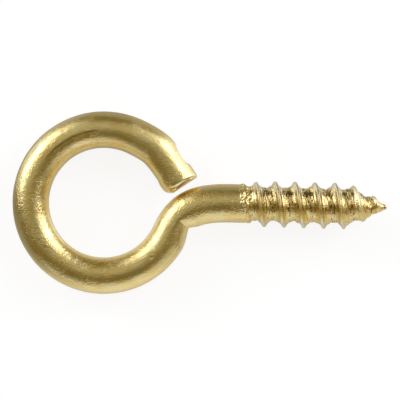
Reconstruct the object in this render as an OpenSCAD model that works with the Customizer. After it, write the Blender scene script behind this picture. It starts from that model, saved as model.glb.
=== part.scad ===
// Screw eye: one length of drawn wire, rolled into an eye at one end and cut as a wood screw at
// the other. The eye lies in the XY plane around the origin and the screw points along +X.

/* [Eye] */
// Diameter of the drawn wire
wire_d = 2.75; // [2:0.05:4]
// Clear diameter inside the eye
eye_d = 8.2; // [6.5:0.05:14]
// Angle above +X at which the true roll of the eye ends
roll_end_angle = 66; // [58:1:74]
// Angle above +X at which the straight free end begins
end_angle = 41.5; // [36:0.5:50]
// How far the wire has opened out of the line of the roll by then
end_opening = 0.12; // [0:0.01:0.3]
// Angle by which the straight end leans in from the line of the roll
end_lean = 5.5; // [0:0.5:9]
// Gap left between the cut end of the wire and the bend below the shank
mouth_gap = 0.3; // [0.1:0.02:1]

/* [Cut end] */
// Angle by which the shear cut leans off square
cut_lean = 1; // [0:0.5:8]
// Radius of the worn edge round the cut
cut_edge = 0.22; // [0.04:0.01:0.25]
// Length over which the shear rolls the inner side over
cut_roll_len = 0.6; // [0.2:0.05:0.8]
// Depth of that roll at the cut
cut_roll_depth = 0.36; // [0:0.01:0.45]
// Depth of the flat that the rolling tool presses into the outer side
mark_depth = 0.2; // [0:0.01:0.3]
// Depth to which the mandrel presses the inner side behind the flat
mark_pinch = 0.07; // [0:0.01:0.12]
// Length of that flat
mark_len = 1.95; // [1:0.05:2.4]
// Distance from the cut back to the step at the flat's end
mark_to_cut = 1.05; // [0.8:0.05:1.3]

/* [Bend] */
// Angle below +X at which the wire leaves the eye
bend_start_angle = 23.5; // [18:0.5:30]
// Length of the bend along the screw
bend_reach = 4.6; // [3.8:0.05:6]
// How far the wire holds the line of the eye as it enters the bend
bend_hold_in = 1.9; // [1.4:0.05:2.3]
// How far the wire holds the line of the screw as it comes out of the bend
bend_hold_out = 2.9; // [2:0.05:3.4]
// Depth of the crease pinched into the hollow side of the bend
crease_depth = 0.35; // [0:0.01:0.45]
// Length of wire that the crease draws in towards the eye
crease_to_eye = 1.75; // [0.6:0.05:1.9]
// Length of wire that it draws in towards the shank
crease_to_shank = 1.15; // [0.4:0.05:1.6]
// Distance of the screw's axis from the middle of the eye
axis_offset = 0.2; // [-0.5:0.02:0.5]

/* [Screw] */
// Diameter of the plain shank
shank_d = 2.9; // [2.1:0.02:4.2]
// Length of the plain shank, from the bend to the shoulder
shank_len = 0.7; // [0.3:0.02:8]
// Length of the shoulder that runs down to the root of the thread
shoulder_len = 0.7; // [0.3:0.05:1.5]
// How much later the shoulder begins on the -Y side than on the +Y side
shoulder_slant = 0.35; // [0:0.01:0.6]
// Diameter over the crests of the thread
thread_d = 3.5; // [2.9:0.05:5.2]
// Diameter at the root of the thread
root_d = 2.52; // [1.7:0.02:2.8]
// Distance from one crest of the right-hand thread to the next
pitch = 1.49; // [1:0.05:2.4]
// Length from the end of the plain shank to the start of the point
thread_len = 8.2; // [4:0.02:20]
// Length of the gimlet point
point_len = 2.7; // [1.8:0.05:4]
// Diameter of the blunt nose of the point
nose_d = 0.44; // [0.1:0.02:0.6]
// Width of the crest of the thread
crest_w = 0.1; // [0.05:0.01:0.25]
// Width of the ridge of the thread where it meets the root
ridge_w = 0.86; // [0.5:0.02:1]

/* [Hidden] */

// Sides of the formed wire's section, and of the thread's, which also divide its pitch
wire_sides = 32;
thread_sides = 20;
// Sections laid as the free end opens out, along its straight, and round its worn edge
opening_sections = 8;
end_sections = 24;
edge_sections = 3;
// Sections laid along the bend before its crease and after it, and on the roll ahead of them
crease_sections = 6;
bend_sections = 19;
bend_lead_sections = 3;
// A formed length starts this many degrees, or this far, inside the round wire that it grows out
// of, and is this much slimmer there, so that the two overlap and their skins never touch
lead_angle = 2;
lead_len = 0.2;
inset = 0.998;

wire_r = wire_d / 2;
shank_r = shank_d / 2;
root_r = root_d / 2;
nose_r = nose_d / 2;
roll_r = (eye_d + wire_d) / 2;

bend_start = roll_r * [cos(bend_start_angle), -sin(bend_start_angle)];
bend_heading = 90 - bend_start_angle;
bend_end = [bend_start.x + bend_reach, axis_offset];
shank_end = bend_end.x + shank_len;
point_start = shank_end + thread_len;
nose_x = point_start + point_len;

// ---- Curves and skins ----

function mix(a, b, t) = a + (b - a) * t;
function ramp(x, a, b) = let (t = min(1, max(0, (x - a) / (b - a)))) t * t * (3 - 2 * t);
function heading(a) = [cos(a), sin(a)];
function left_of(a) = [-sin(a), cos(a)];

// A Bezier curve over four poles, and its heading
function curve_at(p, t) =
    let (u = 1 - t)
    u^3 * p[0] + 3 * u^2 * t * p[1] + 3 * u * t^2 * p[2] + t^3 * p[3];
function curve_heading(p, t) =
    let (u = 1 - t)
    let (way = u^2 * (p[1] - p[0]) + 2 * u * t * (p[2] - p[1]) + t^2 * (p[3] - p[2]))
    atan2(way.y, way.x);

// A section of the wire: where its middle is, its heading and its radius, how deep a flat cuts into
// its left side, and how far its right side is squeezed in
function section(middle, heading, r, flat = 0, squeeze = 0) = [middle, heading, r, flat, squeeze];

function section_points(s) = [
    for (j = [0 : wire_sides - 1])
        let (turn = 360 * j / wire_sides)
        let (side = cos(turn) > 0 ? min(s[2] * cos(turn), s[2] - s[3]) : (s[2] - s[4]) * cos(turn))
        let (flat = s[0] + left_of(s[1]) * side)
        [flat.x, flat.y, s[2] * sin(turn)]
];

// The skin that joins rings of points, all with the same number of sides, into one closed solid
module skin(rings, sides) {
    last = len(rings) - 1;
    walls = [
        for (i = [0 : last - 1], j = [0 : sides - 1])
            let (k = (j + 1) % sides)
            each [
                [i * sides + j, (i + 1) * sides + j, (i + 1) * sides + k],
                [i * sides + j, (i + 1) * sides + k, i * sides + k]
            ]
    ];
    start_cap = [for (j = [0 : sides - 1]) j];
    end_cap = [for (j = [sides - 1 : -1 : 0]) last * sides + j];
    polyhedron(points = [for (ring = rings) each ring], faces = concat([start_cap], walls, [end_cap]));
}

module formed_wire(sections) {
    skin([for (s = sections) section_points(s)], wire_sides);
}

// ---- Bend: a curve from the eye to the screw's axis, creased on its hollow side ----

bend_poles = [
    bend_start,
    bend_start + bend_hold_in * heading(bend_heading),
    bend_end - [bend_hold_out, 0],
    bend_end
];

// The crease sits near the eye, this share of the way along the curve, and its two flanks fall away
// in this power of the distance from it
crease_t = 0.23;
crease_power = 1.4;
// The wire swells from its own diameter to the shank's between these two shares of the way
swell_from = 0.15;
swell_to = 0.75;
// The formed length takes over from the true roll this many degrees before the bend
bend_lead = 10;

function bend_at(t) = curve_at(bend_poles, t);
function bend_r(t) = mix(wire_r, shank_r, ramp(t, swell_from, swell_to));
function crease_at(p, reach) =
    crease_depth * pow(max(0, 1 - norm(p - bend_at(crease_t)) / reach), crease_power);

module bend() {
    lead_in = [
        for (i = [-1 : bend_lead_sections - 1])
            let (back = i < 0 ? bend_lead + lead_angle : bend_lead * (1 - i / bend_lead_sections))
            let (p = roll_r * heading(-bend_start_angle - back))
            section(p, bend_heading - back, wire_r * inset, squeeze = crease_at(p, crease_to_eye))
    ];
    shares = concat(
        [for (i = [0 : crease_sections - 1]) crease_t * i / crease_sections],
        [for (i = [0 : bend_sections]) mix(crease_t, 1, i / bend_sections)]
    );
    curve = [
        for (t = shares)
            let (p = bend_at(t))
            let (squeeze = crease_at(p, t < crease_t ? crease_to_eye : crease_to_shank))
            section(p, curve_heading(bend_poles, t), bend_r(t) * inset, squeeze = squeeze)
    ];
    lead_out = section(bend_end + [lead_len, 0], 0, shank_r * inset);
    formed_wire(concat(lead_in, curve, [lead_out]));
}

// ---- Free end: it opens out of the roll, runs straight towards the bend and is cut off short ----

end_start = (roll_r + end_opening) * heading(end_angle);
end_heading = end_angle - 90 - end_lean;
opening_start = roll_r * heading(roll_end_angle);
opening_heading = roll_end_angle - 90;

// The opening holds its two headings over these shares of its length
opening_hold_in = 0.47;
opening_hold_out = 0.26;
opening_len = norm(end_start - opening_start);
opening_poles = [
    opening_start,
    opening_start + opening_hold_in * opening_len * heading(opening_heading),
    end_start - opening_hold_out * opening_len * heading(end_heading),
    end_start
];

// Clear distance from a point to the skin of the bend, and from the whole face of a cut at length l
function clear_of_bend(p) = min([for (t = [0 : 0.01 : 1]) norm(p - bend_at(t)) - bend_r(t)]);
function cut_clearance(l) =
    let (middle = end_start + l * heading(end_heading))
    let (across = (wire_r - cut_edge) * left_of(end_heading - cut_lean))
    min([for (d = [-1 : 0.25 : 1]) clear_of_bend(middle + d * across)]);

// The end is as long as the gap at the mouth leaves it, found by halving
function end_length(short, long, tries = 14) =
    let (half = (short + long) / 2)
    tries == 0 ? short
        : cut_clearance(half) > mouth_gap ? end_length(half, long, tries - 1)
        : end_length(short, half, tries - 1);
end_len = end_length(0, 2 * roll_r);

// The flat sinks in over this share of its length, and ends in a step as long as this
mark_sink = 0.5;
mark_step = 0.42;
function mark_at(l) =
    let (last = end_len - mark_to_cut)
    let (sunk = min(1, max(0, (l - last + mark_len) / (mark_sink * mark_len))))
    (1 - (1 - sunk)^2) * (1 - ramp(l, last - mark_step, last));

// The cut rolls the inner side over, more steeply towards the cut
function roll_over(l) = cut_roll_depth * pow(max(0, l - (end_len - cut_roll_len)) / cut_roll_len, 1.5);

// A section at length l of the straight, worn down by the edge round the cut
function end_section(l, worn = 0) =
    section(
        end_start + l * heading(end_heading),
        end_heading - cut_lean * ramp(l, 0, end_len),
        wire_r * inset - worn,
        flat = mark_depth * mark_at(l),
        squeeze = mark_pinch * mark_at(l) + roll_over(l)
    );

module free_end() {
    lead_in = section(
        roll_r * heading(roll_end_angle + lead_angle),
        opening_heading + lead_angle,
        wire_r * inset
    );
    opening = [
        for (i = [0 : opening_sections - 1])
            let (t = i / opening_sections)
            let (p = curve_at(opening_poles, t))
            let (mark = mark_at(-norm(p - end_start)))
            section(
                p,
                curve_heading(opening_poles, t),
                wire_r * inset,
                flat = mark_depth * mark,
                squeeze = mark_pinch * mark
            )
    ];
    straight = [for (i = [0 : end_sections - 1]) end_section((end_len - cut_edge) * i / end_sections)];
    edge = [
        for (i = [0 : edge_sections])
            let (a = 90 * i / edge_sections)
            end_section(end_len - cut_edge * (1 - sin(a)), worn = cut_edge * (1 - cos(a)))
    ];
    formed_wire(concat([lead_in], opening, straight, edge));
}

// ---- Screw: the thread and its point are one skin whose radius follows the helix ----

// The ridge first rises on the -Y side, this far past the plain shank, and is full after this
// share of a turn
start_angle = 180;
start_delay = 0.25;
rise_turns = 0.7;
// The ridge's flanks fall away in this power of the distance from its crest
flank_power = 1.4;
// The ridge drops to this share of its height between these two distances past the start of the
// point, and it dies out between the next two distances from the tip, all in pitches
point_rise = 0.58;
drop_from = -0.15;
drop_to = 0.5;
fade_from = 0.6;
fade_to = 0.15;
nose_start = nose_x - nose_r;
// The ball of the nose ends in a flat this share of its size
nose_flat = 0.2;

function crest_x(turn) = shank_end + start_delay + pitch * (turn - start_angle) / 360;
function shoulder_at(turn) = shank_end + shoulder_slant * (1 - cos(turn)) / 2;
function core_at(x, turn) =
    x < point_start ? mix(shank_r, root_r, ramp(x - shoulder_at(turn), 0, shoulder_len))
        : x < nose_start ? mix(root_r, nose_r, (x - point_start) / (nose_start - point_start))
        : nose_r * sqrt(max(nose_flat^2, 1 - ((x - nose_start) / nose_r)^2));

// Full height of the ridge at x: it rises from the shank, drops on the point and dies out
function rise_at(x) =
    (thread_d / 2 - root_r)
        * ramp(x - shank_end - start_delay, 0, rise_turns * pitch)
        * mix(1, point_rise, ramp((x - point_start) / pitch, drop_from, drop_to))
        * (1 - ramp(x, nose_x - fade_from * pitch, nose_x - fade_to * pitch));

// Height of the ridge at a distance along the screw from the middle of its crest, from 1 to 0
function ridge_at(along) =
    pow(1 - min(1, max(0, (abs(along) - crest_w / 2) / ((ridge_w - crest_w) / 2))), flank_power);

function thread_r(x, turn) =
    let (past = (x - crest_x(turn)) / pitch)
    let (along = pitch * (past - round(past)))
    core_at(x, turn) + rise_at(x) * ridge_at(along);

module screw() {
    // Rings stand where the crest crosses the sides, so that the ridge runs through their corners
    step = pitch / thread_sides;
    start = crest_x(0) - step * ceil((crest_x(0) - shank_end + lead_len) / step);
    count = ceil((nose_start - start) / step - 1);
    nose = [for (a = [0 : 30 : 90]) nose_start + nose_r * sin(a)];
    stations = concat([for (i = [0 : count]) start + i * step], nose);
    rings = [
        for (x = stations)
            [
                for (j = [0 : thread_sides - 1])
                    let (turn = 360 * j / thread_sides)
                    let (r = x < shank_end ? shank_r * inset : thread_r(x, turn) * inset)
                    [x, axis_offset + r * cos(turn), r * sin(turn)]
            ]
    ];
    skin(rings, thread_sides);
}

module eye_roll() {
    sweep = 360 - bend_start_angle - bend_lead - roll_end_angle;
    rotate_extrude(angle = sweep, start = roll_end_angle, $fn = 96)
        translate([roll_r, 0])
            circle(r = wire_r, $fn = 48);
}

module plain_shank() {
    translate([bend_end.x, axis_offset, 0])
        rotate([0, 90, 0])
            cylinder(r = shank_r, h = shank_len, $fn = 48);
}

module screw_eye() {
    color("#b8a45c")
        union() {
            eye_roll();
            free_end();
            bend();
            plain_shank();
            screw();
        }
}

screw_eye();
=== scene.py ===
import math

import bmesh
import bpy
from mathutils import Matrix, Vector, noise


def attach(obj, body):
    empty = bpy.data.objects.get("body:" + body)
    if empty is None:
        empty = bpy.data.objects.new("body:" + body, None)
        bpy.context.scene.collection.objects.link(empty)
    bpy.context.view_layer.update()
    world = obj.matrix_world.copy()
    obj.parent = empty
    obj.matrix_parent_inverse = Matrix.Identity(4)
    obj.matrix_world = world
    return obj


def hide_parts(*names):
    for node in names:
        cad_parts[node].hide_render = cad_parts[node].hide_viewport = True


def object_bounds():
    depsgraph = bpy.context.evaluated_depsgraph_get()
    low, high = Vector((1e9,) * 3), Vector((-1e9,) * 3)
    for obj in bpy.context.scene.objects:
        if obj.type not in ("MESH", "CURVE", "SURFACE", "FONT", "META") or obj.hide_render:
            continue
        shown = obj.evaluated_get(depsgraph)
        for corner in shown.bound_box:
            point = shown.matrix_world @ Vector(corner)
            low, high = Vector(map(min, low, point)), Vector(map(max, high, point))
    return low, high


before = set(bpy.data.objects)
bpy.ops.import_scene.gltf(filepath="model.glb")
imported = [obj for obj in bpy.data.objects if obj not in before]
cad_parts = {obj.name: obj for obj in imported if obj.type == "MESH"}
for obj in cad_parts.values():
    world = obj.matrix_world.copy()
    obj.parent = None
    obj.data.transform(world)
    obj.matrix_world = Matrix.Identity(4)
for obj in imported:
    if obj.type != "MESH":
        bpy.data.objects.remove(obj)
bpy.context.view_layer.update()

# ---------------------------------------------------------------------------------------------
# The cut end. The screw eye is one length of drawn wire, sheared off here, which rolled its inner
# side over and left a worn edge. The rolling tool pressed a long flat with a step into the outer
# side behind the cut, and pinched the wire a little.

WIRE_D = 2.75
EYE_D = 8.2
ROLL_END = 66
END_ANGLE = 41.5
END_OPENING = 0.12
END_LEAN = 5.5
END_LEN = 2.92
CUT_LEAN = 1
CUT_EDGE = 0.22
CUT_EDGE_POWER = 0.8
CUT_LIP = 0.06
CUT_BEVEL = 0.25
CUT_BEVEL_FROM = 0.4
CUT_ROLL_LEN = 0.6
CUT_ROLL_DEPTH = 0.36
CUT_ROLL_POWER = 1.5
MARK_DEPTH = 0.2
MARK_PINCH = 0.07
MARK_LEN = 1.95
MARK_TO_CUT = 1.05
MARK_SINK = 0.5
MARK_STEP = 0.42
OPENING_HOLD_IN = 0.47
OPENING_HOLD_OUT = 0.26
FACE_RIMS = 10
EDGE_RIMS = 9
END_RIMS = 54
OPENING_RIMS = 32

# Each radius keeps this share of itself, so that the skin stays inside the solid's box.
JUST_INSIDE = 0.9985
WIRE_R = WIRE_D / 2 * JUST_INSIDE
ROLL_R = (EYE_D + WIRE_D) / 2

# The rims of the wire, in millimetres and in order from this end. Each section adds its own, and
# the skin is laid over all of them at the last.
rims = []


def ramp(x, a, b):
    t = min(1.0, max(0.0, (x - a) / (b - a)))
    return t * t * (3 - 2 * t)


def heading(degrees):
    return Vector((math.cos(math.radians(degrees)), math.sin(math.radians(degrees)), 0))


def curve_at(poles, t):
    a, b, c, d = poles
    u = 1 - t
    return u**3 * a + 3 * u * u * t * b + 3 * u * t * t * c + t**3 * d


def curve_heading(poles, t):
    a, b, c, d = poles
    u = 1 - t
    way = u * u * (b - a) + 2 * u * t * (c - b) + t * t * (d - c)
    return math.degrees(math.atan2(way.y, way.x))


def add_rim(middle, travel, radius, flat=0.0, crease=0.0, pinch=0.0):
    """One rim of the wire, square to its travel: a flat or a crease sinks into the side on the
    right of the travel, which is the outer side of the eye, and a pinch into the left."""

    def lay(turn):
        across, above = math.cos(turn), math.sin(turn)
        if across > 0:
            across *= radius - pinch
        else:
            across = max(across * radius + crease * (1 - (1 + across) ** 3), flat - radius)
        return across, above * radius

    rims.append((middle, travel, lay))


def mark_at(l):
    """How deep the tool's flat is here, as a share: it sinks in slowly and stops at a step."""
    last = END_LEN - MARK_TO_CUT
    sunk = min(1.0, max(0.0, (l - last + MARK_LEN) / (MARK_SINK * MARK_LEN)))
    return (1 - (1 - sunk) ** 2) * (1 - ramp(l, last - MARK_STEP, last))


def roll_over(l):
    rolled = max(0.0, l - (END_LEN - CUT_ROLL_LEN)) / CUT_ROLL_LEN
    return CUT_ROLL_DEPTH * rolled**CUT_ROLL_POWER


end_heading = END_ANGLE - 90 - END_LEAN
end_start = (ROLL_R + END_OPENING) * heading(END_ANGLE)


def add_end_rim(l, worn=0.0, share=1.0):
    add_rim(
        end_start + l * heading(end_heading),
        end_heading - CUT_LEAN * ramp(l, 0, END_LEN) + 180,
        (WIRE_R - worn) * share,
        flat=MARK_DEPTH * mark_at(l),
        pinch=(MARK_PINCH * mark_at(l) + roll_over(l)) * share,
    )


for i in range(1, FACE_RIMS):
    add_end_rim(END_LEN, worn=CUT_EDGE, share=i / FACE_RIMS)
for i in range(EDGE_RIMS + 1):
    a = math.pi / 2 * i / EDGE_RIMS
    bevelled = max(0.0, i / EDGE_RIMS - CUT_BEVEL_FROM) / (1 - CUT_BEVEL_FROM)
    back = CUT_LIP * (1 - math.cos(a)) + (CUT_BEVEL - CUT_LIP) * bevelled
    add_end_rim(END_LEN - back, worn=CUT_EDGE * (1 - math.sin(a)) ** CUT_EDGE_POWER)
face_rims = len(rims)
for i in range(1, END_RIMS + 1):
    add_end_rim((END_LEN - CUT_BEVEL) * (1 - i / END_RIMS))

opening_start = ROLL_R * heading(ROLL_END)
opening_len = (end_start - opening_start).length
opening_poles = [
    end_start,
    end_start - OPENING_HOLD_OUT * opening_len * heading(end_heading),
    opening_start + OPENING_HOLD_IN * opening_len * heading(ROLL_END - 90),
    opening_start,
]
for i in range(1, OPENING_RIMS):
    middle = curve_at(opening_poles, i / OPENING_RIMS)
    mark = mark_at(-(middle - end_start).length)
    add_rim(
        middle,
        curve_heading(opening_poles, i / OPENING_RIMS),
        WIRE_R,
        flat=MARK_DEPTH * mark,
        pinch=MARK_PINCH * mark,
    )

# ---------------------------------------------------------------------------------------------
# The eye. The wire is rolled round a mandrel to a clear 8.2 mm, a little short of a full turn, and
# the crease of the bend reaches back a little way into it.

BEND_START = 23.5
BEND_REACH = 4.6
HOLD_IN = 1.9
HOLD_OUT = 2.9
AXIS_OFFSET = 0.2
CREASE_DEPTH = 0.35
CREASE_TO_EYE = 1.75
CREASE_T = 0.23
CREASE_POWER = 1.4
CREASED_FROM = 270
ROLL_RIMS = 186

bend_start = ROLL_R * heading(-BEND_START)
bend_end = Vector((bend_start.x + BEND_REACH, AXIS_OFFSET, 0))
bend_poles = [
    bend_start,
    bend_start + HOLD_IN * heading(90 - BEND_START),
    bend_end - Vector((HOLD_OUT, 0, 0)),
    bend_end,
]
creased = curve_at(bend_poles, CREASE_T)


def mix(a, b, t):
    return a + (b - a) * t


def crease_at(p, reach):
    return CREASE_DEPTH * max(0.0, 1 - (p - creased).length / reach) ** CREASE_POWER


roll_rim = len(rims)
for i in range(ROLL_RIMS):
    angle = mix(ROLL_END, 360 - BEND_START, i / ROLL_RIMS)
    middle = ROLL_R * heading(angle)
    crease = crease_at(middle, CREASE_TO_EYE) if angle > CREASED_FROM else 0.0
    add_rim(middle, angle + 90, WIRE_R, crease=crease)

# ---------------------------------------------------------------------------------------------
# The bend. The wire comes round from the eye on to the line of the screw, which pinches a crease
# into its hollow side, and swells to the shank.

SHANK_D = 2.9
SWELL_FROM = 0.15
SWELL_TO = 0.75
CREASE_TO_SHANK = 1.15
BEND_RIMS = 100

SHANK_R = SHANK_D / 2 * JUST_INSIDE

for i in range(BEND_RIMS):
    t = i / BEND_RIMS
    middle = curve_at(bend_poles, t)
    add_rim(
        middle,
        curve_heading(bend_poles, t),
        mix(WIRE_R, SHANK_R, ramp(t, SWELL_FROM, SWELL_TO)),
        crease=crease_at(middle, CREASE_TO_EYE if t < CREASE_T else CREASE_TO_SHANK),
    )

# ---------------------------------------------------------------------------------------------
# The shank and the screw. The plain end of the wire runs down over a shoulder, torn where the
# thread was first cut, to the root, and a right-hand thread rises round it, which dies out on a
# gimlet point. Cutting it left ragged grooves along the bottom of the thread.

SHANK_LEN = 0.7
SHOULDER_LEN = 0.7
SHOULDER_SLANT = 0.35
THREAD_D = 3.5
THREAD_LEN = 8.2
ROOT_D = 2.52
PITCH = 1.49
POINT_LEN = 2.7
POINT_SHORT = 0.004
NOSE_D = 0.44
NOSE_FLAT = 0.2
CREST_W = 0.14
CREST_INSIDE = 0.996
RIDGE_W = 0.86
FLANK_POWER = 1.4
START_ANGLE = 180
START_DELAY = 0.25
RISE_TURNS = 0.7
POINT_RISE = 0.58
DROP_FROM = -0.15
DROP_TO = 0.5
FADE_FROM = 0.6
FADE_TO = 0.15
ROOT_FALL = 2.5
HOLLOW_DEPTH = 0.05
GROOVE_W = 0.1
GROOVES_A_TURN = 5
GROOVE_DEPTH = 0.018
LUMP_W = 0.24
LUMPS_A_TURN = 8
LUMP_DEPTH = 0.085
CUT_IN = (0.2, 0.7)
CUT_OUT = (1.0, 0.4)
TORN_BACK = 0.3
TORN_IN = (-0.25, 0.1)
TORN_OUT = (0.5, 0.9)
TORN_MIDDLE = 50
TORN_SIDES = (0.74, 0.88)
CRUMB_R = 1.4
CRUMB_W = 0.3
CRUMB_DEPTH = 0.15
FINE_CRUMBS = 2.1
FINE_CRUMB_DEPTH = 0.05
RAGGED = 0.03
RAGGED_ALONG = 2.2
RAGGED_ROUND = 40
STEP_AT = 0.33
STEP_W = 0.05
STEP_DEPTH = 0.035
STEP_SIDE = (100, 115)
SHANK_RIMS = 14
TURN_RIMS = 66

THREAD_R = THREAD_D / 2 * CREST_INSIDE
ROOT_R = ROOT_D / 2 * JUST_INSIDE
NOSE_R = NOSE_D / 2
shank_end = bend_end.x + SHANK_LEN
point_start = shank_end + THREAD_LEN
nose_x = point_start + POINT_LEN - POINT_SHORT
nose_start = nose_x - NOSE_R


def past_shank(x, start, end):
    return ramp(x, shank_end + start, shank_end + end)


def crest_x(turn):
    return shank_end + START_DELAY + PITCH * (turn - START_ANGLE) / 360


def core_at(x, turn):
    if x < point_start:
        shoulder = shank_end + SHOULDER_SLANT * (1 - math.cos(math.radians(turn))) / 2
        return mix(SHANK_R, ROOT_R, ramp(x - shoulder, 0, SHOULDER_LEN))
    if x < nose_start:
        return mix(ROOT_R, NOSE_R, (x - point_start) / (nose_start - point_start))
    return NOSE_R * math.sqrt(max(NOSE_FLAT**2, 1 - ((x - nose_start) / NOSE_R) ** 2))


def rise_at(x):
    return (
        (THREAD_R - ROOT_R)
        * ramp(x - shank_end - START_DELAY, 0, RISE_TURNS * PITCH)
        * mix(1, POINT_RISE, ramp((x - point_start) / PITCH, DROP_FROM, DROP_TO))
        * (1 - ramp(x, nose_x - FADE_FROM * PITCH, nose_x - FADE_TO * PITCH))
    )


def ridge_at(x, turn):
    """How high the ridge stands here, as a share: 1 along the crest and 0 along the root."""
    past = (x - crest_x(turn)) / PITCH
    along = PITCH * (past - round(past))
    flank = (abs(along) - CREST_W / 2) / ((RIDGE_W - CREST_W) / 2)
    return (1 - min(1.0, max(0.0, flank))) ** FLANK_POWER


def root_at(x, turn):
    return 1 - min(1.0, ROOT_FALL * ridge_at(x, turn))


def cut_marks(x, turn):
    """The grooves and lumps that cutting the thread left along its root. The last number given
    to each noise only picks another patch of it."""
    past = (x - crest_x(turn)) / PITCH
    winding = math.floor(past)
    wound = winding + turn / 360
    from_crest = (past - winding) * PITCH
    groove = noise.noise(Vector((from_crest / GROOVE_W, wound * GROOVES_A_TURN, 0.5)))
    lump = noise.noise(Vector((from_crest / LUMP_W, wound * LUMPS_A_TURN, 7.5)))
    hollow = (2 * (past - winding) - 1) ** 2 / (1 - RIDGE_W / PITCH) ** 2
    return HOLLOW_DEPTH * hollow + GROOVE_DEPTH * groove + LUMP_DEPTH * lump


def torn(x, turn):
    """The crumbs of metal torn up on the shoulder, where the cutter first bit."""
    angle = math.radians(turn)
    p = Vector((x, CRUMB_R * math.cos(angle), CRUMB_R * math.sin(angle))) / CRUMB_W
    crumbs = CRUMB_DEPTH * noise.noise(p) + FINE_CRUMB_DEPTH * noise.noise(p * FINE_CRUMBS)
    facing = 0.5 + 0.5 * math.cos(math.radians(turn - TORN_MIDDLE))
    return crumbs * ramp(facing, *TORN_SIDES)


def add_screw_rim(x):
    cut = past_shank(x, *CUT_IN) * (1 - ramp(x, nose_x - CUT_OUT[0], nose_x - CUT_OUT[1]))
    bitten = past_shank(x, *TORN_IN) * (1 - past_shank(x, *TORN_OUT))
    step_down = STEP_DEPTH * math.exp(-(((x - shank_end - STEP_AT) / STEP_W) ** 2))

    def lay(turn):
        degrees = math.degrees(turn)
        chip = noise.noise(Vector((x * RAGGED_ALONG, degrees / RAGGED_ROUND, 3)))
        r = core_at(x, degrees) + rise_at(x) * ridge_at(x, degrees) * (1 - RAGGED * (1 + chip))
        r += cut_marks(x, degrees) * root_at(x, degrees) * cut + torn(x, degrees) * bitten
        r -= step_down * ramp(degrees, *STEP_SIDE)
        return r * math.cos(turn), r * math.sin(turn)

    rims.append((Vector((x, AXIS_OFFSET, 0)), 0, lay))


screw_start = shank_end - TORN_BACK
for i in range(SHANK_RIMS):
    x = mix(bend_end.x, screw_start, i / SHANK_RIMS)
    add_rim(Vector((x, AXIS_OFFSET, 0)), 0, SHANK_R)
first_screw_rim = len(rims)
step = PITCH / TURN_RIMS
for i in range(math.ceil((nose_start - screw_start) / step)):
    add_screw_rim(screw_start + i * step)
for a in range(0, 91, 10):
    add_screw_rim(nose_start + NOSE_R * math.sin(math.radians(a)))

# ---------------------------------------------------------------------------------------------
# The skin of the wire. A flat sheet, with a row of points for each rim, is wrapped round the rims
# and welded along its seam and over both ends. Drawing and rolling left the wire very slightly
# wavy, so the skin isn't quite round anywhere, and shearing left the cut face domed.

WIRE_SIDES = 104
WAVE = 0.007
WAVE_LEN = 1.1
RIPPLE = 0.0022
RIPPLE_LEN = 0.3
CUT_DOME = 0.3
CUT_DOME_LEN = 1.0
RIDGE_SHOWS = (0.2, 0.9)
ROOT_SHOWS = (0.1, 0.7)
WELD = 1e-5
MM = 0.001

wire = bmesh.new()
bmesh.ops.create_grid(wire, x_segments=WIRE_SIDES, y_segments=len(rims) - 1, size=0.5)

# Each point keeps its place across, above and along the wire as if it were straight, and how far
# it is on the ridge and on the root of the thread.
in_line = wire.verts.layers.float_vector.new("in_line")
on_thread = wire.verts.layers.float_vector.new("on_thread")

along = [0.0]
for rim, next_rim in zip(rims, rims[1:]):
    along.append(along[-1] + (next_rim[0] - rim[0]).length)
for v in wire.verts:
    turn = 2 * math.pi * (v.co.x + 0.5)
    row = round((v.co.y + 0.5) * (len(rims) - 1))
    middle, travel, lay = rims[row]
    across, above = lay(turn % (2 * math.pi))
    co = middle + heading(travel + 90) * across + Vector((0, 0, above))
    out = (co - middle).normalized()
    wave = WAVE * noise.noise(co / WAVE_LEN) + RIPPLE * noise.noise(co / RIPPLE_LEN)
    if row < face_rims:
        wave = 0.0
    domed = CUT_DOME * (above / WIRE_R) ** 2 * max(0.0, 1 - along[row] / CUT_DOME_LEN)
    v.co = co + out * (wave - WAVE / 2) - domed * heading(end_heading)
    v[in_line] = (across, above, along[row])
    if row >= first_screw_rim:
        degrees = math.degrees(turn) % 360
        ridge = ridge_at(middle.x, degrees) * past_shank(middle.x, *RIDGE_SHOWS)
        root = root_at(middle.x, degrees) * past_shank(middle.x, *ROOT_SHOWS)
        v[on_thread] = (ridge, root, 0)
bmesh.ops.remove_doubles(wire, verts=wire.verts, dist=WELD)
ends = [e for e in wire.edges if e.is_boundary]
bmesh.ops.holes_fill(wire, edges=ends, sides=WIRE_SIDES)
bmesh.ops.recalc_face_normals(wire, faces=wire.faces)
face_end = along[face_rims] + WELD
for f in wire.faces:
    f.smooth = True
    f.material_index = int(all(v[in_line].z <= face_end for v in f.verts))
bmesh.ops.scale(wire, vec=(MM, MM, MM), verts=wire.verts)
wire_mesh = bpy.data.meshes.new("screw_eye_wire")
wire.to_mesh(wire_mesh)
wire.free()
screw_eye = bpy.data.objects.new("screw_eye_wire", wire_mesh)
bpy.context.scene.collection.objects.link(screw_eye)

# ---------------------------------------------------------------------------------------------
# The finish. Drawing, rolling and plating left a fine grain, patches of pits and faint lines along
# the wire, which the plating and the bare sheared face share. Handling wore the crests of the
# thread grey and cutting oil browned its root, and over these lie a painted reflection on the
# crests and flanks and a painted shade in the root. Sizes are in millimetres and heights in
# microns.

GRAIN_INPUTS = (
    ("Dimple Size", 0.21),
    ("Dimple Height", 20.0),
    ("Line Height", 3.0),
    ("Grain Height", 19.0),
    ("Pit Height", 10.0),
)
MOTTLE_SPREAD = (0.42, 0.66)
SMEAR_SPREAD = (0.35, 0.65)
PIT_SPREAD = (0.3, 0.6)

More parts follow.
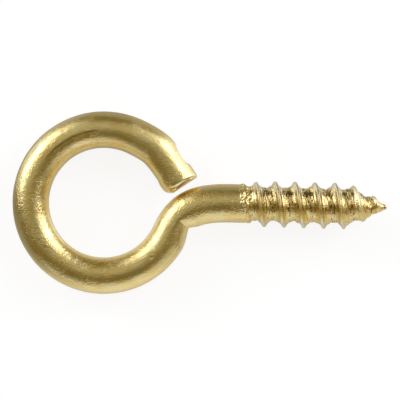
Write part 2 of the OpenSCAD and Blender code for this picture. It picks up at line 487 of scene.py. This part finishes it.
drawn = bpy.data.node_groups.new("drawn_wire", "ShaderNodeTree")
drawn.interface.new_socket("In Line", in_out="INPUT", socket_type="NodeSocketVector")
for name, usual in GRAIN_INPUTS:
    socket = drawn.interface.new_socket(name, in_out="INPUT", socket_type="NodeSocketFloat")
    socket.default_value = usual
for name in ("Mottle", "Smear", "Height"):
    drawn.interface.new_socket(name, in_out="OUTPUT", socket_type="NodeSocketFloat")

# Each helper that makes a node puts it among the nodes and links that were named last.
nodes, links = drawn.nodes, drawn.links
given, made = nodes.new("NodeGroupInput").outputs, nodes.new("NodeGroupOutput").inputs


def fed(node, *values):
    """Feeds a node's sockets in order, each with a number, a colour or another node's output."""
    for socket, value in zip(node.inputs, values):
        if isinstance(value, bpy.types.NodeSocket):
            links.new(value, socket)
        elif value is not None:
            socket.default_value = value
    return node.outputs[0]


def maths(operation, *values):
    node = nodes.new("ShaderNodeMath")
    node.operation = operation
    return fed(node, *values)


def add(a, b):
    return maths("ADD", a, b)


def multiply(a, b):
    return maths("MULTIPLY", a, b)


def spread(value, low, high, start=0.0, end=1.0, smooth=False):
    """Goes from start to end as the value goes from low to high, and stays level past them."""
    node = nodes.new("ShaderNodeMapRange")
    if smooth:
        node.interpolation_type = "SMOOTHSTEP"
    return fed(node, value, low, high, start, end)


def wire_noise(line, cell, squash=(1, 1, 1), detail=2.0):
    """Noise in cells of this size, once the wire is squashed so far across, above and along."""
    laid = nodes.new("ShaderNodeVectorMath")
    laid.operation = "MULTIPLY"
    cells = nodes.new("ShaderNodeTexNoise")
    cells.inputs["Detail"].default_value = detail
    fed(cells, fed(laid, line, squash), None, maths("DIVIDE", 1.0, cell))
    return cells.outputs["Fac"]


line = given["In Line"]
dimples = wire_noise(line, cell=given["Dimple Size"], squash=(1, 1, 1 / 1.6))
lines = wire_noise(line, cell=0.05, squash=(1, 1, 1 / 30), detail=0.0)
patches = spread(wire_noise(line, cell=0.8, squash=(1, 1, 1 / 1.3)), *MOTTLE_SPREAD)
pits = spread(wire_noise(line, cell=0.09, detail=0.0), *PIT_SPREAD)
height = multiply(dimples, given["Dimple Height"])
height = add(height, multiply(lines, given["Line Height"]))
height = add(height, multiply(wire_noise(line, cell=0.1), given["Grain Height"]))
height = add(height, multiply(multiply(patches, pits), given["Pit Height"]))
links.new(height, made["Height"])
links.new(wire_noise(line, cell=0.55, squash=(1, 1, 1 / 1.8), detail=3.0), made["Mottle"])
links.new(wire_noise(line, cell=0.3, squash=(1, 1, 1 / 4), detail=3.0), made["Smear"])

GOLD = (0.785, 0.645, 0.285, 1)
GOLD_WARM = (0.79, 0.585, 0.215, 1)
# The grey of the crests, the brown of the root and the dark of its specks are partly wear and dirt
# and partly painted reflection and painted shade, and the two flank colours are painted
# reflections.
CREST_WEAR_AND_REFLECTION = (0.77, 0.72, 0.54, 1)
BROWNED_AND_SHADE = (0.68, 0.45, 0.14, 1)
PALE_FLANK_REFLECTION = (0.78, 0.66, 0.35, 1)
AMBER_FLANK_REFLECTION = (0.81, 0.62, 0.21, 1)
ROLLER_LINE = (0.34, 0.24, 0.05, 1)
GRIME_AND_SHADE = (0.20, 0.13, 0.045, 1)
PLATE_ROUGHNESS = (0.14, 0.21)
ROOT_ROUGHNESS = 0.04
RIDGE_ROUGHNESS = (0.15, 0.8, 0.0, 0.13)

# Places across the wire are positive on the left of its travel, which is the inner side of the
# eye. Four numbers say where a change begins and ends, and what it goes from and to.
BROWNED_AND_SHADE_ACROSS = ((-0.62, -0.38, 0.15, 1.0), (0.22, 0.42, 1.0, 0.2))
BROWNED_AND_SHADE_SMEAR = (0.6, 1.0)
ROLLER_FROM = 94
ROLLER_TO = 147
ROLLER_FADE_IN = 0.6
ROLLER_FADE_OUT = 1.2
ROLLER_ACROSS = ((-0.06, 0.06, 0.0, 1.0), (0.08, 0.2, 1.0, 0.0))
ROLLER_ABOVE = (0.0, 0.1, 0.0, 0.85)
FLANK_ACROSS = (-0.4, 0.5)
FLANK_RIDGE = (0.02, 0.3, 0.0, 0.7)
CREST_WEAR_AND_REFLECTION_RIDGE = (0.5, 0.95)
CREST_REFLECTION_SIDES = (0.5, 2.2, 0.1, 0.9)
SPECK_SPREAD = (0.55, 0.61)
SHADE_SPECKS_LEFT = ((0.58, 0.78, 0.0, 0.13), (0.98, 1.06, 1.0, 0.0))
SPECKS_MIDDLE = ((-0.75, -0.5, -0.06, -0.03), (0.5, 0.6, 1.0, 0.0))
NICK_AT = Vector((3.684, -4.007, 1.37))
NICK_FLOOR_R = 0.04
NICK_R = 0.17
NICK_DEPTH = 32.0
RING_HEIGHT = 14.0


def band(value, rise, fall):
    """A stretch with two edges, each given as a spread."""
    return multiply(spread(value, *rise), spread(value, *fall))


def tint(share, under, over):
    node = nodes.new("ShaderNodeMix")
    node.data_type = "RGBA"
    fed(node, share, None, None, None, None, None, under, over)
    return node.outputs[2]


def parts_of(vector):
    node = nodes.new("ShaderNodeSeparateXYZ")
    fed(node, vector)
    return node.outputs


def place_grain(sizes):
    """Puts the drawn wire's grain, with these sizes, in the material: gives the place along the
    wire, the grain's outputs and the shader to feed."""
    in_line = nodes.new("ShaderNodeAttribute")
    in_line.attribute_name = "in_line"
    grain = nodes.new("ShaderNodeGroup")
    grain.node_tree = drawn
    for name, value in sizes.items():
        grain.inputs[name].default_value = value
    links.new(in_line.outputs["Vector"], grain.inputs["In Line"])
    return in_line.outputs["Vector"], grain.outputs, nodes["Principled BSDF"]


def finish_metal(shader, colour, roughness, height):
    """Feeds the shader of bare metal, with its skin raised by this height in microns."""
    bump = nodes.new("ShaderNodeBump")
    bump.inputs["Distance"].default_value = 1e-6
    links.new(height, bump.inputs["Height"])
    links.new(bump.outputs[0], shader.inputs["Normal"])
    links.new(colour, shader.inputs["Base Color"])
    links.new(roughness, shader.inputs["Roughness"])
    shader.inputs["Metallic"].default_value = 1.0


plate = bpy.data.materials.new("brass_plate")
plate.use_nodes = True
nodes, links = plate.node_tree.nodes, plate.node_tree.links
line, grain, shader = place_grain({})
across, above, length_along = parts_of(line)
thread = nodes.new("ShaderNodeAttribute")
thread.attribute_name = "on_thread"
ridge, root = parts_of(thread.outputs["Vector"])[:2]

colour = tint(spread(grain["Mottle"], *MOTTLE_SPREAD), GOLD, GOLD_WARM)
# The root's browning is partly painted shade: it lies in a band across the middle of the root and
# fades on the upper side, where the root catches the light.
browned = multiply(root, band(across, *BROWNED_AND_SHADE_ACROSS))
browned = multiply(browned, spread(grain["Smear"], *SMEAR_SPREAD, *BROWNED_AND_SHADE_SMEAR))
colour = tint(browned, colour, BROWNED_AND_SHADE)

line_start = along[roll_rim] + ROLL_R * math.radians(ROLLER_FROM - ROLL_END)
line_end = along[roll_rim] + ROLL_R * math.radians(ROLLER_TO - ROLL_END)
lined = multiply(
    spread(length_along, line_start, line_start + ROLLER_FADE_IN),
    spread(length_along, line_end - ROLLER_FADE_OUT, line_end, 1.0, 0.0),
)
lined = multiply(lined, multiply(band(across, *ROLLER_ACROSS), spread(above, *ROLLER_ABOVE)))
colour = tint(lined, colour, ROLLER_LINE)

# Painted reflection: the thread's flanks are pale on their upper side and amber on their lower
# side, standing in for what they reflect.
flank = tint(spread(across, *FLANK_ACROSS), AMBER_FLANK_REFLECTION, PALE_FLANK_REFLECTION)
colour = tint(spread(ridge, *FLANK_RIDGE), colour, flank)
# The crests are worn grey, and greyer towards both sides of the wire, where the grey is a painted
# reflection of grazing light.
worn = multiply(spread(ridge, *CREST_WEAR_AND_REFLECTION_RIDGE), spread(multiply(across, across), *CREST_REFLECTION_SIDES))
colour = tint(worn, colour, CREST_WEAR_AND_REFLECTION)

# Grime specks in the root, thickened into painted shade of dark dashes on its upper side and
# thinned below.
specks = wire_noise(line, cell=0.11, squash=(0.3, 0.3, 1), detail=1.0)
specks = add(specks, add(band(across, *SHADE_SPECKS_LEFT), band(across, *SPECKS_MIDDLE)))
colour = tint(multiply(root, spread(specks, *SPECK_SPREAD)), colour, GRIME_AND_SHADE)

roughness = spread(grain["Smear"], *SMEAR_SPREAD, *PLATE_ROUGHNESS)
roughness = add(roughness, multiply(root, ROOT_ROUGHNESS))
roughness = add(roughness, spread(ridge, *RIDGE_ROUGHNESS))

nick = nodes.new("ShaderNodeVectorMath")
nick.operation = "DISTANCE"
fed(nick, nodes.new("ShaderNodeTexCoord").outputs["Object"], NICK_AT * MM)
dent = spread(nick.outputs["Value"], NICK_FLOOR_R * MM, NICK_R * MM, -NICK_DEPTH, 0.0)
rings = wire_noise(line, cell=0.05, squash=(0.1, 0.1, 1), detail=1.0)
rings = multiply(rings, multiply(root, RING_HEIGHT))
finish_metal(shader, colour, roughness, add(add(grain["Height"], dent), rings))
wire_mesh.materials.append(plate)

SHEARED = (0.97, 0.87, 0.54, 1)
SHEARED_ROUGHNESS = (0.14, 0.24)
SHEARED_GRAIN = {
    "Dimple Size": 0.12,
    "Dimple Height": 16.0,
    "Line Height": 0.0,
    "Grain Height": 5.0,
    "Pit Height": 0.0,
}

sheared = bpy.data.materials.new("sheared_end")
sheared.use_nodes = True
nodes, links = sheared.node_tree.nodes, sheared.node_tree.links
line, grain, shader = place_grain(SHEARED_GRAIN)
roughness = spread(grain["Smear"], *SMEAR_SPREAD, *SHEARED_ROUGHNESS)
finish_metal(shader, tint(grain["Mottle"], SHEARED, GOLD), roughness, grain["Height"])
wire_mesh.materials.append(sheared)

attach(screw_eye, "root")
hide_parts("screw_eye")

# ---------------------------------------------------------------------------------------------
# The floor. The screw eye lies on a sheet of pale paper, which shows white by itself. In the metal
# it is duller, with a sheen, and carries a painted shade that grows darker behind the eye, to its
# left and in front of the screw. Places on it are in metres.

FLOOR_HALF = 0.5
PAPER_TONE = 0.22
PAPER_WHITE = 0.86
METAL_TONE = 0.27
METAL_TONE_SHADE = 0.9
METAL_WHITE = 0.38
METAL_SHEEN = 0.32
SHEEN_ROUGHNESS = 0.15
BEHIND_EYE = (-0.005, 0.009, 0.24)
LEFT_OF_EYE = (-0.0035, -0.0105, 0.28)
ALONG_SCREW = (0.0085, 0.0110, 0.26)
FRONT_NEAR_SIDE = (-0.0046, -0.0060, 1.0)
FRONT_FAR_SIDE = (-0.0130, -0.0090, 1.0)

ground = bmesh.new()
bmesh.ops.create_grid(ground, x_segments=1, y_segments=1, size=FLOOR_HALF)
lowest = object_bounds()[0].z
bmesh.ops.translate(ground, vec=(0, 0, lowest), verts=ground.verts)
floor_mesh = bpy.data.meshes.new("floor")
ground.to_mesh(floor_mesh)
ground.free()
floor = bpy.data.objects.new("floor", floor_mesh)
bpy.context.scene.collection.objects.link(floor)

paper = bpy.data.materials.new("floor")
paper.use_nodes = True
nodes, links = paper.node_tree.nodes, paper.node_tree.links
nodes.remove(nodes["Principled BSDF"])
seen = nodes.new("ShaderNodeLightPath").outputs
floor_x, floor_y = parts_of(nodes.new("ShaderNodeTexCoord").outputs["Object"])[:2]


def darker(place, start, end, share):
    """How much darker the paper is made past these places, as painted shade."""
    return spread(place, start, end, 0.0, share, smooth=True)


front = multiply(darker(floor_x, *ALONG_SCREW), darker(floor_y, *FRONT_NEAR_SIDE))
front = multiply(front, darker(floor_y, *FRONT_FAR_SIDE))
shade = add(add(darker(floor_y, *BEHIND_EYE), darker(floor_x, *LEFT_OF_EYE)), front)

in_metal = seen["Is Glossy Ray"]
in_open = maths("MAXIMUM", seen["Is Camera Ray"], seen["Is Transmission Ray"])
metal_tone = multiply(in_metal, maths("SUBTRACT", METAL_TONE, multiply(shade, METAL_TONE_SHADE)))
metal_white = maths("MAXIMUM", multiply(in_metal, maths("SUBTRACT", METAL_WHITE, shade)), 0.0)
lit = nodes.new("ShaderNodeBsdfDiffuse")
links.new(add(metal_tone, PAPER_TONE), lit.inputs["Color"])
white = nodes.new("ShaderNodeEmission")
links.new(add(multiply(in_open, PAPER_WHITE), metal_white), white.inputs["Strength"])
sheen = nodes.new("ShaderNodeBsdfAnisotropic")
sheen.inputs["Roughness"].default_value = SHEEN_ROUGHNESS
links.new(multiply(in_metal, METAL_SHEEN), sheen.inputs["Color"])
surface = fed(nodes.new("ShaderNodeAddShader"), lit.outputs[0], white.outputs[0])
surface = fed(nodes.new("ShaderNodeAddShader"), surface, sheen.outputs[0])
links.new(surface, nodes["Material Output"].inputs["Surface"])
floor_mesh.materials.append(paper)

# ---------------------------------------------------------------------------------------------
# The light. A plain studio, dull all round and paler overhead towards the back, with a low white
# card in front, and behind it on either side a soft box with a glow round it. Directions are in
# degrees, round from the screw's line and up from the floor.

DULL = (0.215, 0.18, 0.09, 1)
OVERHEAD = (0.465, 0.45, 0.37, 1)
GLOW = (0.68, 0.67, 0.62, 1)
CARD = (0.90, 0.92, 1.05, 1)
CARD_END = (0.62, 0.60, 0.56, 1)
BOX = (3.2, 3.3, 3.9, 1)
BACK_X = 0.34
BACK_Y = 0.94
OVERHEAD_BACK = (-0.2, 0.18)
OVERHEAD_RISE = (22, 62)

world = bpy.data.worlds.new("studio")
bpy.context.scene.world = world
world.use_nodes = True
nodes, links = world.node_tree.nodes, world.node_tree.links
way_x, way_y, way_z = parts_of(nodes.new("ShaderNodeTexCoord").outputs["Generated"])
turn = maths("ARCTAN2", way_y, way_x)
whole_turn = maths("MODULO", add(turn, 2 * math.pi), 2 * math.pi)
rise = maths("ARCSINE", way_z)


def beyond(angle, start, end):
    return spread(angle, math.radians(start), math.radians(end), smooth=True)


def between(angle, a, b, c, d):
    """Fades in from a to b and out again from c to d."""
    return multiply(beyond(angle, a, b), maths("SUBTRACT", 1.0, beyond(angle, c, d)))


back = maths("SUBTRACT", multiply(way_y, BACK_Y), multiply(way_x, BACK_X))
overhead = multiply(spread(back, *OVERHEAD_BACK, smooth=True), beyond(rise, *OVERHEAD_RISE))
look = tint(overhead, DULL, OVERHEAD)
for colour, round_by, sides, heights in (
    (CARD, whole_turn, (250, 280, 320, 336), (-90, -80, 29, 47)),
    (CARD, whole_turn, (218, 240, 275, 300), (-90, -80, 8, 36)),
    (CARD_END, whole_turn, (300, 318, 322, 340), (-90, -80, 20, 52)),
    (GLOW, whole_turn, (92, 128, 156, 186), (-4, 2, 44, 76)),
    (GLOW, turn, (-24, 10, 56, 84), (4, 28, 50, 78)),
    (BOX, whole_turn, (111, 145, 160, 181), (1, 8, 32, 47)),
    (BOX, turn, (8, 24, 38, 62), (-2, 4, 38, 54)),
):
    look = tint(multiply(between(round_by, *sides), between(rise, *heights)), look, colour)
links.new(look, nodes["Background"].inputs["Color"])

# ---------------------------------------------------------------------------------------------
# The camera looks straight down on the screw eye through a long lens, so that the whole of it
# shows flat and square, with its point a little down from level.

VIEW_MIDDLE = Vector((7.207, 0.384, 0)) * MM
VIEW_WIDTH = 0.030
VIEW_TURN = 1.5
LENS_HEIGHT = 0.25

lens = bpy.data.cameras.new("camera")
lens.sensor_width = 36
lens.lens = lens.sensor_width * LENS_HEIGHT / VIEW_WIDTH
lens.clip_start, lens.clip_end = 0.01, 10
camera = bpy.data.objects.new("camera", lens)
camera.location = VIEW_MIDDLE + Vector((0, 0, LENS_HEIGHT))
camera.rotation_euler = (0, 0, math.radians(VIEW_TURN))
bpy.context.scene.collection.objects.link(camera)
bpy.context.scene.camera = camera
bpy.context.scene.view_settings.view_transform = "Standard"
